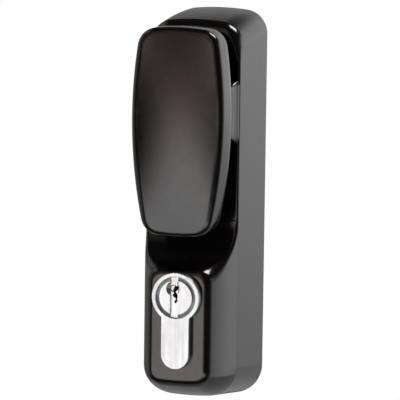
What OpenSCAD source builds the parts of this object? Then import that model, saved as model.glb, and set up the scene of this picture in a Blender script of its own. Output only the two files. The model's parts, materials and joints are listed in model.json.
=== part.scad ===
// Knob lock for the outside of an exit door: a cast housing with a paddle knob above and a
// Euro-profile key cylinder below. Everything is drawn lying on its back, where x runs across the
// door, y runs up it and z runs out from it. It is then stood up, so the front faces -Y and +Z is up.
// The origin is the middle of the back face, which lies on the door.

/* [Housing] */
// Width of the housing
body_w = 33.2; // [32:0.2:42]
// Room below the key cylinder, down to the bottom of the housing
foot_room = 14.5; // [13:0.5:20]
// Depth of the base, from the door to its front face
base_out = 29; // [26:0.5:34]
// Wall thickness of the casting
wall = 2.5; // [2:0.1:3]
// Thickness of the front wall of the base
front_wall = 3; // [2.5:0.1:4]
// Radius of the corners, seen from the front
corner_r = 10; // [8:0.5:12]
// Radius of the arched top and bottom ends
arch_r = 90; // [60:5:200]
// Radius of the rounded front rim
rim_r = 0.8; // [0.5:0.1:2]
// Lean of the top end, from the door to the front
top_draft = 1.1; // [0.5:0.1:2]
// Lean of the bottom end, from the door to the front
foot_draft = 3.1; // [1:0.1:4]

/* [Raised block] */
// Depth of the cylinder panel from the door
panel_out = 42.7; // [40:0.1:46]
// Width of the panel with its rounded edges
panel_w = 22.4; // [21:0.2:25]
// Height of the panel above the cylinder axis
panel_above = 10; // [9.5:0.1:13]
// Height of the slanted foot below the panel
panel_foot = 5.1; // [4:0.1:8]
// Radius of the panel's corners
panel_corner_r = 5.5; // [4:0.5:7]
// Radius of the rounded panel edge
panel_edge_r = 2.2; // [1:0.2:3]
// Radius of the concave sweep from the base up to the panel
sweep_r = 16; // [15:0.5:28]
// Swell of the slanted sides of the block
block_swell = 0.5; // [0.2:0.1:1.2]

/* [Knob] */
// Distance from the top of the housing down to the knob axis
knob_drop = 32.8; // [32:0.1:36]
// Distance of the paddle's widest place inside the sides of the housing
knob_inset = 0.15; // [0:0.05:2]
// Height of the paddle above the knob axis
knob_above = 29.4; // [26:0.2:32]
// Height of the paddle below the knob axis
knob_below = 41.8; // [36:0.1:44]
// Height of the widest place, less than nothing where it lies below the knob axis
knob_wide_y = -1.2; // [-4:0.2:4]
// Radius of the bowed sides of the paddle
knob_side_r = 165; // [150:5:260]
// Radius of the arched ends of the paddle
knob_end_r = 75; // [50:5:120]
// Radius of the paddle's corners
knob_corner_r = 7; // [5:0.5:9]
// Finger gap between the base and the paddle
finger_gap = 7.8; // [7:0.1:14]
// Thickness of the paddle at its rim
knob_t = 9.3; // [7:0.1:12]
// Radius of the rounded front edge of the paddle
knob_edge_r = 2.6; // [1.5:0.1:3.5]
// Rise of the domed face above the rim
knob_dome = 1.4; // [0.5:0.1:2.5]
// Diameter of the shank
shank_d = 17; // [16:0.2:18]
// Turn of the knob each way from rest, in degrees
knob_turn = 45; // [30:1:45]

/* [Key cylinder] */
// Distance from the knob axis down to the cylinder axis
axis_gap = 62.2; // [61:0.1:64]
// Diameter of the round part of the profile
profile_d = 17; // [16.6:0.1:17.4]
// Width of the lobe of the profile
profile_w = 10; // [9.6:0.1:10.4]
// Height of the whole profile
profile_h = 33; // [32:0.2:34]
// Distance that the cylinder stands proud of the panel
cylinder_proud = 2.5; // [1:0.1:3]
// Diameter of the plug
plug_d = 14; // [13:0.2:14.4]
// Diameter of the pin chambers
chamber_d = 3; // [2.6:0.1:3.4]
// Distance between pin chambers
pin_pitch = 4.2; // [3.8:0.1:4.6]
// Number of pins
pin_count = 5; // [3:1:6]

/* [Clutch] */
// Thickness of the back plate
plate_t = 1.6; // [1.2:0.1:2]
// Width of the square spindle socket
socket_w = 8; // [7:0.1:9]
// Wall thickness of the follower ring
ring_t = 3.7; // [3.5:0.1:4.2]
// Travel of the clutch pin
clutch_travel = 3; // [2.5:0.1:3.4]
// Diameter of the clutch pin
clutch_pin_d = 4; // [3.4:0.1:4.4]
// Thickness of the slide
slide_t = 3; // [2.6:0.1:3.4]
// Distance from the cylinder axis to the middle of the cam's nose
cam_throw = 8.5; // [8:0.1:9]
// Turn of the key, in degrees
key_turn = 90; // [60:1:90]
// Wire thickness of the return spring
spring_wire = 1.2; // [0.9:0.1:1.4]

/* [Fixings] */
// Diameter of the two tapped fixing holes
fixing_d = 5; // [4:0.5:6]
// Depth of the tapped fixing holes
fixing_depth = 18; // [12:1:20]
// Diameter of the small screws
screw_d = 3; // [2.5:0.1:3.2]
// Diameter of the cylinder's cross screw
cross_screw_d = 5; // [4:0.2:5.4]

/* [Clearances] */
// Gap on the radius of a running fit
run_fit = 0.05; // [0.02:0.01:0.1]
// Gap between pieces that lie together
fit = 0.1; // [0.05:0.01:0.15]
// Gap between moving pieces
free_gap = 0.3; // [0.25:0.05:0.4]

/* [Hidden] */
$fn = 48;
// Points along each corner of an outline, slices in a rounded edge
corner_steps = 8;
edge_steps = 4;
thin = 0.01;
// Depth that a flush head or pin lies below its face
sunk = 0.05;
through = 1;

// Places along the door
body_h = knob_drop + axis_gap + profile_h - profile_d / 2 + foot_room;
knob_y = body_h / 2 - knob_drop;
cylinder_y = knob_y - axis_gap;
body_low = -body_h / 2;
body_high = body_h / 2;

// Depths of the housing
cavity_out = base_out - front_wall;
cavity_half = body_w / 2 - wall;
panel_high = cylinder_y + panel_above;
panel_low = body_low + foot_draft + panel_foot;
block_rise = panel_out - base_out;
panel_edge_y = panel_high - panel_edge_r / 2;
sweep_y = panel_edge_y + sqrt(sweep_r * sweep_r - pow(sweep_r - block_rise, 2));
block_foot = base_out - rim_r;
block_steps = 4;
block_wall = 5;
block_cavity_half = profile_d / 2 + 1.5;
block_cavity_r = 4;

// Knob shank and its bearing, from the front wall back towards the door
shank_r = shank_d / 2;
knob_back = base_out + finger_gap;
knob_w = body_w - 2 * knob_inset;
neck_gap = 0.9;
neck_h = finger_gap - neck_gap;
neck_r = 14;
neck_foot_r = 18.4;
neck_flare_r = (pow(neck_foot_r - neck_r, 2) + neck_h * neck_h) / (2 * (neck_foot_r - neck_r));
bush_wall = 1.5;
bush_r = shank_r + run_fit + bush_wall;
bush_top = base_out + 1;
bush_low = cavity_out - 4;
bush_flange_t = 1.5;
bush_flange_r = bush_r + 2;
collar_r = bush_r + 3;
washer_t = 1;
washer_out = bush_low - bush_flange_t - fit - washer_t;
washer_r = shank_r + 3;
clip_t = 1.1;
clip_out = washer_out - fit - clip_t;
clip_depth = 1;
clip_gap_angle = 70;
shank_end = clip_out - 0.8;
tenon_w = 9;
tenon_screw_d = 5;
tenon_screw_depth = 9;
thread_play = 0.03;
knob_fillet_r = 2.5;
knob_back_edge = 1;
dome_steps = 6;

// Clutch: driver disc on the shank, follower cup around it, radial pin between them
disc_t = 3.4;
disc_out = shank_end - fit - disc_t;
follower_r = cavity_half - 0.5;
ring_inner_r = follower_r - ring_t;
disc_r = ring_inner_r - free_gap;
screw_head_h = 1.8;
cup_floor_out = disc_out - screw_head_h - 0.4;
cup_floor_t = 3.2;
cup_back_out = cup_floor_out - cup_floor_t;
ring_front_out = shank_end;
hub_r = socket_w * sqrt(2) / 2 + 2.35;
hub_out = 0.3;
pin_out = (cup_floor_out + ring_front_out) / 2;
pin_r = clutch_pin_d / 2;
pin_inner_r = disc_r + free_gap - clutch_travel - 0.2;
screw_head_gap = 0.7;
tenon_screw_head_r = pin_inner_r - screw_head_gap;
pin_head_r = pin_r + 0.9;
pin_head_t = 1.2;
head_under_r = follower_r - 0.8;
pin_seat_r = ring_inner_r + 1.5;
lug_half_angle = 10;
lug_r = (cavity_half - free_gap) / sin(knob_turn + lug_half_angle);
peg_r = 1;
coil_r = hub_r + 0.4 + spring_wire / 2;
leg_gap = 0.2;
peg_x = coil_r - spring_wire / 2 - leg_gap - peg_r;
peg_ring_r = coil_r + spring_wire / 2 + 0.5 + peg_r;
peg_y = sqrt(peg_ring_r * peg_ring_r - peg_x * peg_x);
anchor_ring_r = peg_ring_r + 2 * peg_r + free_gap;
anchor_y = sqrt(anchor_ring_r * anchor_ring_r - peg_x * peg_x);
leg_end_y = anchor_y + peg_r;
spring_turns = 2;
coil_gap = 0.25;
coil_sides = 24;
peg_low = plate_t + 0.6;
peg_floor = 1;

// Slide with its shoe under the clutch pin, moved by the cam's nose
slide_out = pin_out - slide_t / 2;
shoe_inner_r = head_under_r + pin_head_t + free_gap;
shoe_t = 2;
shoe_half_angle = knob_turn + 10;
slide_travel = 2 * cam_throw * sin(key_turn / 2);
post_x = cavity_half - 3;
post_r = 3;
slide_half_w = post_x - post_r - free_gap;
guide_half_h = 2.5;
guide_t = 2.3;
nose_r = 2;
nose_gap = 0.45;
neck_half = nose_r - 0.2;
cam_hub_r = cam_throw - nose_r - 0.2;
stem_low = cylinder_y + cam_hub_r + slide_travel + through;
guide_y = (knob_y - shoe_inner_r - shoe_t + stem_low) / 2;
nose_y = cylinder_y + cam_throw * sin(key_turn / 2);
leg_in_x = cam_hub_r + free_gap;
leg_out_x = cavity_half - 1;
leg_low = nose_y - nose_r - nose_gap - 5;
notch_x = cam_throw + nose_r + 0.4;

// Key cylinder
profile_r = profile_d / 2;
plug_r = plug_d / 2;
cylinder_front = panel_out + cylinder_proud;
cam_out = 4;
cam_t = slide_out + slide_t - cam_out - 0.6;
cylinder_back = slide_out + slide_t + 0.6;
lobe_low = cylinder_y + profile_r - profile_h;
lobe_y = lobe_low + profile_w / 2;
web_high = lobe_y + profile_w / 2 - 0.5;
web_out = cam_out - 0.3;
tail_r = 4;
tail_flat = 3.2;
tail_end = plate_t + 0.7;
tail_groove = 0.6;
tail_clip_w = 1.6;
plug_bevel = 1.2;
plug_bevel_h = 0.8;
plug_sunk = 0.2;
dimple_r = 2.6;
dimple_x = -0.95;
dimple_y = 3;
dimple_depth = 0.9;
groove_left = -1.9;
groove_right = 0.8;
groove_depth = 0.5;
first_pin_out = cylinder_front - 6;
chamber_r = chamber_d / 2;
pin_body_r = chamber_r - fit;
key_pin_top = 2.2;
shear_gap = 0.2;
driver_length = 4.6;
chamber_plug_t = 2.6;
chamber_plug_sunk = 0.6;
pin_spring_wire = 0.4;
pin_spring_turns = 4;
pin_spring_sides = 10;
cross_y = lobe_y;
cross_out = (web_out + cylinder_back) / 2;
cross_head_r = 4;
cross_head_t = 2.6;
lug_in_x = profile_w / 2 + fit;
lug_t = 3.4;

// Fixing bosses and the posts for the back plate's screws
boss_r = fixing_d / 2 + 1.8;
boss_high_gap = 2.8;
boss_low_sunk = 1.6;
boss_high_y = body_high - top_draft - wall - boss_r - boss_high_gap;
boss_low_y = body_low + foot_draft + wall + boss_r - boss_low_sunk;
post_side_gap = 1.4;
post_end_gap = 2.9;
plate_post_x = cavity_half - post_r - post_side_gap;
plate_post_inset = wall + post_r + post_end_gap;
plate_post_ys = [body_low + foot_draft + plate_post_inset, body_high - top_draft - plate_post_inset];
screw_r = screw_d / 2;
screw_core_r = screw_r + thread_play;
screw_length = 8;
head_r = screw_d;
head_t = screw_d / 2;
slot_w = 0.8;
slot_t = 0.7;

// Points of an arc; skip leaves out that many points at each end
function arc(x, y, r, from, to, skip = 0) =
    [for (i = [skip:corner_steps - skip])
        let (a = from + (to - from) * i / corner_steps) [x + r * cos(a), y + r * sin(a)]];

// Outline with straight sides, arched ends of radius bulge and rounded corners
function tablet(w, low, high, r, bulge) =
    let (x = w / 2 - r,
        lean = asin(x / (bulge - r)),
        drop = bulge - (bulge - r) * cos(lean))
    concat(arc(x, high - drop, r, 0, 90 - lean),
        arc(0, high - bulge, bulge, 90 - lean, 90 + lean, 1),
        arc(-x, high - drop, r, 90 + lean, 180),
        arc(-x, low + drop, r, 180, 270 - lean),
        arc(0, low + bulge, bulge, 270 - lean, 270 + lean, 1),
        arc(x, low + drop, r, 270 + lean, 360));

// Outline of the housing, drawn in by inset all round, from the door at lean = 0 to the front at lean = 1
function body_outline(inset, lean = 1) =
    tablet(body_w - 2 * inset, body_low + inset + lean * foot_draft, body_high - inset - lean * top_draft,
        corner_r - inset, arch_r - inset);

// Outline of the raised block, from the base at t = 0 to the panel at t = 1
function block_outline(t) =
    let (swell = 4 * block_swell * t * (1 - t), foot = body_low + foot_draft)
    tablet(body_w + (panel_w - body_w) * t + 2 * swell, foot + (panel_low - foot) * t - swell,
        sweep_y + sweep_r + (panel_high - sweep_y - sweep_r) * t,
        corner_r + (panel_corner_r - corner_r) * t, arch_r);

// Outline of the cylinder panel, drawn in by inset all round
function panel_outline(inset) =
    tablet(panel_w - 2 * inset, panel_low + inset, panel_high - inset,
        panel_corner_r - inset, arch_r - inset);

// Middle line of a coil around z that climbs from z = 0, starting at the angle from
function coil_line(r, from, sweep, climb, sides_per_turn) =
    let (n = ceil(abs(sweep) / 360 * sides_per_turn))
    [for (i = [0:n]) let (a = from + sweep * i / n) [r * cos(a), r * sin(a), climb * i / n]];

function unit(v) = v / norm(v);

// Direction of a line of points at the point i
function heading(line, i) =
    unit(line[min(i + 1, len(line) - 1)] - line[max(i - 1, 0)]);

// Round wire along a line of points that never runs along z
module wire(line, r, sides = 8) {
    last = len(line) - 1;
    rings = [for (i = [0:last]) let (along = heading(line, i),
        side = unit(cross(along, [0, 0, 1])),
        up = cross(side, along))
        for (k = [0:sides - 1])
            line[i] + r * cos(360 * k / sides) * side + r * sin(360 * k / sides) * up];
    walls = [for (i = [0:last - 1]) for (k = [0:sides - 1])
        let (m = (k + 1) % sides, here = i * sides, next = here + sides)
        each [[here + k, here + m, next + m], [here + k, next + m, next + k]]];
    caps = [[for (k = [sides - 1:-1:0]) k], [for (k = [0:sides - 1]) last * sides + k]];
    polyhedron(rings, concat(walls, caps));
}

// Solid through a stack of outlines with equal numbers of points, each given with its depth
module loft(rings) {
    n = len(rings[0][0]);
    last = len(rings) - 1;
    points = [for (ring = rings) for (p = ring[0]) [p[0], p[1], ring[1]]];
    walls = [for (i = [0:last - 1]) for (k = [0:n - 1])
        let (m = (k + 1) % n, here = i * n, next = here + n)
        each [[here + k, next + m, here + m], [here + k, next + k, next + m]]];
    caps = [[for (k = [0:n - 1]) k], [for (k = [n - 1:-1:0]) last * n + k]];
    polyhedron(points, concat(walls, caps));
}

// Stands the lying model up against the door
module upright() {
    rotate([90, 0, 0]) children();
}

// Places children on the knob axis or the cylinder axis at a depth
module on_knob_axis(out = 0) {
    upright() translate([0, knob_y, out]) children();
}

module on_cylinder_axis(out = 0) {
    upright() translate([0, cylinder_y, out]) children();
}

// Cylinder lying along x from x = 0
module across(r, length) {
    rotate([0, 90, 0]) cylinder(r = r, h = length);
}

// Thin slice of an outline at a depth
module slice(points, out) {
    translate([0, 0, out]) linear_extrude(thin) polygon(points);
}

// Open retaining ring of rectangular section
module snap_ring(inner_r, outer_r, t, gap_angle) {
    rotate([0, 0, gap_angle / 2 - 90])
        rotate_extrude(angle = 360 - gap_angle) translate([inner_r, 0]) square([outer_r - inner_r, t]);
}

// Countersunk screw with its flat head at z = 0 and its shank along +z
module flat_head_screw(r, head, head_height, length) {
    difference() {
        union() {
            cylinder(r1 = head, r2 = r, h = head_height);
            cylinder(r = r, h = length);
        }
        translate([-head, -slot_w / 2, -through]) cube([2 * head, slot_w, through + slot_t]);
    }
}

// Cheese-head screw with its head below z = 0 and its shank along +z
module cheese_head_screw(r, head, head_height, length) {
    difference() {
        union() {
            translate([0, 0, -head_height]) cylinder(r = head, h = head_height);
            cylinder(r = r, h = length);
        }
        translate([-head, -slot_w / 2, -head_height - through]) cube([2 * head, slot_w, through + slot_t]);
    }
}

module base_form() {
    hull() {
        slice(body_outline(0, 0), 0);
        for (i = [0:edge_steps]) {
            a = 90 * i / edge_steps;
            slice(body_outline(rim_r * (1 - cos(a))), base_out - rim_r * (1 - sin(a)) - thin);
        }
    }
}

module block_form() {
    difference() {
        hull() {
            for (i = [0:block_steps]) {
                t = i / block_steps;
                slice(block_outline(t), block_foot + (panel_out - panel_edge_r - block_foot) * t - thin);
            }
            for (i = [1:edge_steps]) {
                a = 90 * i / edge_steps;
                slice(panel_outline(panel_edge_r * (1 - cos(a))),
                    panel_out - panel_edge_r * (1 - sin(a)) - thin);
            }
        }
        translate([-body_w, sweep_y, base_out + sweep_r]) across(sweep_r, 2 * body_w, $fn = 96);
        translate([-body_w, sweep_y, base_out]) cube([2 * body_w, body_h, panel_out]);
    }
}

// Cast neck behind the knob, which flares out to the edges of the base
module neck() {
    intersection() {
        translate([0, knob_y, base_out]) rotate_extrude($fn = 96) difference() {
            translate([0, -front_wall]) square([neck_foot_r, front_wall + neck_h]);
            translate([neck_r + neck_flare_r, neck_h]) circle(r = neck_flare_r);
        }
        linear_extrude(knob_back) polygon(body_outline(0));
    }
}

module euro_profile(grow) {
    circle(r = profile_r + grow);
    translate([-profile_w / 2 - grow, lobe_y - cylinder_y])
        square([profile_w + 2 * grow, cylinder_y - lobe_y]);
    translate([0, lobe_y - cylinder_y]) circle(r = profile_w / 2 + grow);
}

module at_plate_posts() {
    for (x = [-plate_post_x, plate_post_x]) for (y = plate_post_ys) translate([x, y, 0]) children();
}

module at_guide_posts() {
    for (x = [-post_x, post_x]) translate([x, guide_y, 0]) children();
}

module housing() {
    color("#2b2726") upright() difference() {
        union() {
            difference() {
                union() {
                    base_form();
                    block_form();
                    neck();
                }
                translate([0, 0, -through])
                    linear_extrude(cavity_out + through) polygon(body_outline(wall));
                hollow_block();
            }
            intersection() {
                linear_extrude(base_out - rim_r) polygon(body_outline(wall / 2));
                inner_casting();
            }
        }
        translate([0, knob_y, bush_low - through])
            cylinder(r = bush_r + fit / 2, h = bush_top - bush_low + through);
        translate([0, knob_y, 0]) cylinder(r = shank_r + free_gap, h = knob_back);
        translate([0, knob_y, knob_back - knob_fillet_r - free_gap])
            cylinder(r = shank_r + knob_fillet_r + free_gap, h = finger_gap);
        for (y = [boss_low_y, boss_high_y])
            translate([0, y, -through]) cylinder(r = fixing_d / 2, h = fixing_depth + through);
        at_plate_posts() cylinder(r = screw_core_r, h = plate_t + screw_length + through);
        at_guide_posts() cylinder(r = screw_core_r, h = slide_out + screw_length);
        translate([0, cylinder_y, cavity_out]) linear_extrude(panel_out) euro_profile(fit);
        translate([0, cross_y, cross_out]) across(cross_screw_d / 2 + fit, cavity_half - wall);
    }
}

// Hollow of the raised block, around the key cylinder
module hollow_block() {
    high = cylinder_y + profile_r + fit;
    low = lobe_low - fit - 1;
    translate([0, 0, wall]) linear_extrude(panel_out - block_wall - wall)
        polygon(tablet(2 * block_cavity_half, low, high, block_cavity_r, arch_r));
}

// Collar, bosses, posts and ribs cast inside the base
module inner_casting() {
    translate([0, knob_y, bush_low]) cylinder(r = collar_r, h = base_out - bush_low - rim_r);
    for (y = [boss_low_y, boss_high_y]) translate([0, y, 0]) cylinder(r = boss_r, h = cavity_out + thin);
    at_plate_posts() translate([0, 0, plate_t + fit]) cylinder(r = post_r, h = cavity_out - plate_t);
    guide_face = slide_out - free_gap;
    at_guide_posts() translate([0, 0, guide_face]) cylinder(r = post_r, h = cavity_out - guide_face + thin);
    translate([-post_x, guide_y - guide_half_h, slide_out + slide_t + free_gap])
        cube([2 * post_x, 2 * guide_half_h, cavity_out - slide_out - slide_t]);
    translate([lug_in_x, body_low, web_out])
        cube([lug_t, cross_y + cross_head_r - body_low, cavity_out - web_out]);
}

module back_plate() {
    color("silver") upright() difference() {
        linear_extrude(plate_t) polygon(body_outline(wall + fit));
        translate([0, knob_y, -through]) cylinder(r = hub_r + run_fit, h = plate_t + 2 * through);
        for (y = [boss_low_y, boss_high_y])
            translate([0, y, -through]) cylinder(r = boss_r + fit, h = plate_t + 2 * through);
        at_plate_posts() {
            translate([0, 0, -through]) cylinder(r = screw_r + fit, h = plate_t + 2 * through);
            translate([0, 0, -thin]) cylinder(r1 = head_r + fit, r2 = screw_r + fit, h = head_t + thin);
        }
        for (x = [-peg_x, peg_x])
            translate([x, knob_y + anchor_y, -through])
                cylinder(r = peg_r + run_fit, h = plate_t + 2 * through);
    }
}

module back_plate_screws() {
    color("dimgray") upright() at_plate_posts() translate([0, 0, sunk])
        flat_head_screw(screw_r, head_r, head_t, screw_length);
}

// Angle of the line from one point to another
function bearing(from, to) = atan2(to[1] - from[1], to[0] - from[0]);

// Right-hand place where two circles meet
function meeting(a, ra, b, rb) =
    let (d = norm(b - a),
        along = (d * d + ra * ra - rb * rb) / (2 * d),
        off = sqrt(ra * ra - along * along),
        u = (b - a) / d,
        p = a + along * u + off * [-u[1], u[0]],
        q = a + along * u - off * [-u[1], u[0]])
    p[0] > q[0] ? p : q;

// Right half of the paddle seen from the front, around the knob axis, from its lower to its upper end
function paddle_half(inset) =
    let (side = [knob_w / 2 - knob_side_r, knob_wide_y],
        top = [0, knob_above - knob_end_r],
        foot = [0, knob_end_r - knob_below],
        high = meeting(side, knob_side_r - knob_corner_r, top, knob_end_r - knob_corner_r),
        low = meeting(side, knob_side_r - knob_corner_r, foot, knob_end_r - knob_corner_r),
        r = knob_corner_r - inset)
    concat(arc(foot[0], foot[1], knob_end_r - inset, -90, bearing(foot, low), 1),
        arc(low[0], low[1], r, bearing(foot, low), bearing(side, low)),
        arc(side[0], side[1], knob_side_r - inset, bearing(side, low), bearing(side, high), 1),
        arc(high[0], high[1], r, bearing(side, high), bearing(top, high)),
        arc(top[0], top[1], knob_end_r - inset, bearing(top, high), 90, 1));

// Whole paddle outline, mirrored about the middle
function paddle_outline(inset) =
    let (half = paddle_half(inset), last = len(half) - 1)
    concat(half, [for (i = [last:-1:0]) [-half[i][0], half[i][1]]]);

// Rings of the paddle from its back to its domed face, each an outline and its depth
function paddle_rings(back_r, steps) =
    concat([[paddle_outline(back_r), 0], [paddle_outline(0), back_r]],
        [for (i = [0:edge_steps]) let (a = 90 * i / edge_steps)
            [paddle_outline(knob_edge_r * (1 - cos(a))), knob_t - knob_edge_r * (1 - sin(a))]],
        [for (i = [1:steps]) let (s = i / (steps + 1))
            [(1 - s) * paddle_outline(knob_edge_r), knob_t + knob_dome * (1 - pow(1 - s, 2))]]);

module paddle() {
    loft(paddle_rings(knob_back_edge, dome_steps));
}

module knob() {
    color("#2f2a28") on_knob_axis() difference() {
        union() {
            translate([0, 0, knob_back]) paddle();
            translate([0, 0, shank_end]) cylinder(r = shank_r, h = knob_back + thin - shank_end);
            translate([-tenon_w / 2, -tenon_w / 2, disc_out])
                cube([tenon_w, tenon_w, shank_end - disc_out + thin]);
            translate([0, 0, knob_back]) knob_fillet();
        }
        translate([0, 0, clip_out - fit / 2]) rotate_extrude()
            translate([shank_r - clip_depth, 0]) square([clip_depth + through, clip_t + fit]);
        translate([0, 0, disc_out - through])
            cylinder(r = tenon_screw_d / 2 + thread_play, h = tenon_screw_depth + through);
    }
}

// Fillet between the back of the paddle and the shank
module knob_fillet() {
    r = knob_fillet_r;
    rotate_extrude() difference() {
        translate([shank_r - thin, -r]) square([r, r + thin]);
        translate([shank_r + r, -r]) circle(r = r);
    }
}

module knob_bush() {
    color("peru") on_knob_axis() difference() {
        union() {
            translate([0, 0, bush_low]) cylinder(r = bush_r, h = bush_top - bush_low - fit);
            translate([0, 0, bush_low - bush_flange_t]) cylinder(r = bush_flange_r, h = bush_flange_t);
        }
        translate([0, 0, shank_end]) cylinder(r = shank_r + run_fit, h = knob_back - shank_end);
    }
}

module thrust_washer() {
    color("gainsboro") on_knob_axis(washer_out) difference() {
        cylinder(r = washer_r, h = washer_t);
        translate([0, 0, -through]) cylinder(r = shank_r + fit, h = washer_t + 2 * through);
    }
}

module knob_circlip() {
    color("dimgray") on_knob_axis(clip_out)
        snap_ring(shank_r - clip_depth + run_fit, washer_r - clip_depth, clip_t, clip_gap_angle);
}

module driver_disc() {
    hole = tenon_w + 2 * run_fit;
    notch_w = clutch_pin_d + 2 * free_gap;
    color("lightsteelblue") on_knob_axis(disc_out) difference() {
        cylinder(r = disc_r, h = disc_t);
        translate([-hole / 2, -hole / 2, -through]) cube([hole, hole, disc_t + 2 * through]);
        translate([-notch_w / 2, -disc_r - through, -through])
            cube([notch_w, disc_r + through - pin_inner_r + free_gap, disc_t + 2 * through]);
    }
}

module driver_screw() {
    color("dimgray") on_knob_axis(disc_out - fit / 2)
        cheese_head_screw(tenon_screw_d / 2, tenon_screw_head_r, screw_head_h - fit,
            tenon_screw_depth - free_gap);
}

// Sector of the stop lug on the follower's rim
module stop_lug() {
    rotate([0, 0, 90 - lug_half_angle]) rotate_extrude(angle = 2 * lug_half_angle)
        translate([follower_r - 1, 0]) square([lug_r - follower_r + 1, ring_front_out - cup_back_out]);
}

module follower() {
    color("lightgray") on_knob_axis() difference() {
        union() {
            translate([0, 0, cup_back_out]) cylinder(r = follower_r, h = ring_front_out - cup_back_out);
            translate([0, 0, hub_out]) cylinder(r = hub_r, h = cup_back_out - hub_out + thin);
            translate([0, 0, cup_back_out]) stop_lug();
        }
        translate([0, 0, cup_floor_out]) cylinder(r = ring_inner_r, h = ring_front_out);
        translate([-socket_w / 2, -socket_w / 2, -through])
            cube([socket_w, socket_w, cup_floor_out + 2 * through]);
        translate([0, 0, pin_out]) rotate([90, 0, 0]) cylinder(r = pin_r + run_fit, h = follower_r + through);
        translate([0, 0, pin_out]) rotate([90, 0, 0]) translate([0, 0, pin_seat_r])
            cylinder(r = pin_head_r + free_gap, h = follower_r);
        for (x = [-peg_x, peg_x]) translate([x, peg_y, cup_back_out - through])
            cylinder(r = peg_r + run_fit, h = cup_floor_t - peg_floor + through);
    }
}

module spring_pegs() {
    color("dimgray") on_knob_axis() for (x = [-peg_x, peg_x])
        translate([x, peg_y, peg_low]) cylinder(r = peg_r, h = cup_floor_out - peg_floor - peg_low - fit);
}

module spring_anchors() {
    color("dimgray") on_knob_axis() for (x = [-peg_x, peg_x])
        translate([x, anchor_y, sunk]) cylinder(r = peg_r, h = cup_back_out - sunk - free_gap);
}

// Coil round the follower's hub; both ends run straight up outside the pegs and the anchors
module return_spring() {
    climb = spring_turns * (spring_wire + coil_gap);
    coil = coil_line(coil_r, 180, spring_turns * 360 + 180, climb, coil_sides);
    first = [[-coil_r, leg_end_y, 0], [-coil_r, leg_end_y / 2, 0]];
    last = [[coil_r, leg_end_y / 2, climb], [coil_r, leg_end_y, climb]];
    color("slategray") on_knob_axis(plate_t + free_gap + spring_wire / 2)
        wire(concat(first, coil, last), spring_wire / 2);
}

module clutch_pin() {
    color("gold") on_knob_axis(pin_out) rotate([90, 0, 0]) {
        translate([0, 0, pin_inner_r]) cylinder(r = pin_r, h = head_under_r - pin_inner_r + thin);
        translate([0, 0, head_under_r]) cylinder(r1 = pin_head_r, r2 = pin_head_r - 0.4, h = pin_head_t);
    }
}

module clutch_pin_spring() {
    room = head_under_r - pin_seat_r;
    thick = 0.4;
    turns = 2;
    line_r = pin_r + fit + thick / 2 + sunk;
    color("slategray") on_knob_axis(pin_out) rotate([90, 0, 0])
        translate([0, 0, pin_seat_r + thick / 2 + sunk])
            wire(coil_line(line_r, 0, turns * 360, room - thick - 2 * sunk, coil_sides * 2 / 3), thick / 2);
}

// Shoe, stem and notched leg of the slide, cut from plate
module slide_outline() {
    difference() {
        union() {
            translate([0, knob_y]) intersection() {
                difference() {
                    circle(r = shoe_inner_r + shoe_t, $fn = 96);
                    circle(r = shoe_inner_r, $fn = 96);
                }
                polygon([[0, 0], for (side = [-1, 1])
                    2 * body_w * [side * sin(shoe_half_angle), -cos(shoe_half_angle)]]);
            }
            difference() {
                translate([-slide_half_w, stem_low]) square([2 * slide_half_w, knob_y - stem_low]);
                translate([0, knob_y]) circle(r = shoe_inner_r, $fn = 96);
            }
            translate([0, stem_low]) square([leg_out_x, guide_half_h + 2]);
            translate([leg_in_x, leg_low]) square([leg_out_x - leg_in_x, stem_low - leg_low + thin]);
        }
        translate([0, nose_y - nose_r - nose_gap]) square([notch_x, 2 * (nose_r + nose_gap)]);
    }
}

module clutch_slide() {
    color("darkseagreen") upright() translate([0, 0, slide_out]) linear_extrude(slide_t) slide_outline();
}

module slide_guide() {
    back = slide_out - 2 * free_gap - guide_t;
    color("burlywood") upright() translate([0, 0, back + free_gap]) difference() {
        translate([-post_x - post_r, guide_y - guide_half_h, 0])
            cube([2 * (post_x + post_r), 2 * guide_half_h, guide_t]);
        at_guide_posts() translate([0, 0, -through]) cylinder(r = screw_r + fit, h = guide_t + 2 * through);
    }
}

module guide_screws() {
    head = slide_out - free_gap - guide_t;
    color("dimgray") upright() at_guide_posts() translate([0, 0, head - sunk])
        cheese_head_screw(screw_r, post_r - fit, head_t, guide_t + screw_length - through);
}

module at_pins() {
    for (i = [0:pin_count - 1]) translate([0, 0, first_pin_out - i * pin_pitch]) children();
}

module cylinder_body() {
    chamber_high = plug_r;
    color("gainsboro") on_cylinder_axis() difference() {
        union() {
            translate([0, 0, cylinder_back])
                linear_extrude(cylinder_front - cylinder_back) euro_profile(0);
            translate([0, 0, web_out]) linear_extrude(cylinder_back - web_out + thin) intersection() {
                euro_profile(0);
                translate([-profile_w, -profile_h])
                    square([2 * profile_w, web_high - cylinder_y + profile_h]);
            }
        }
        translate([0, 0, cylinder_back - through])
            cylinder(r = plug_r + run_fit, h = cylinder_front - cylinder_back + 2 * through);
        at_pins() rotate([90, 0, 0]) cylinder(r = chamber_r, h = profile_h);
        translate([-profile_w, cross_y - cylinder_y, cross_out]) across(cross_screw_d / 2, 2 * profile_w);
    }
}

// Crooked keyway, seen from the front around the plug's axis
module keyway() {
    polygon([[0.3, 5.4], [1, 5.4], [1.1, 3], [-0.2, 1.9], [0.7, 0.7], [0.4, -0.4], [0.7, -1.2],
        [0.7, -key_pin_top], [-0.7, -key_pin_top], [-0.6, -1.5], [0, -0.4], [-1.3, 0.4], [-0.7, 1.6],
        [-1.2, 2.4], [-0.5, 4], [0.3, 3.8]]);
}

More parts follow.
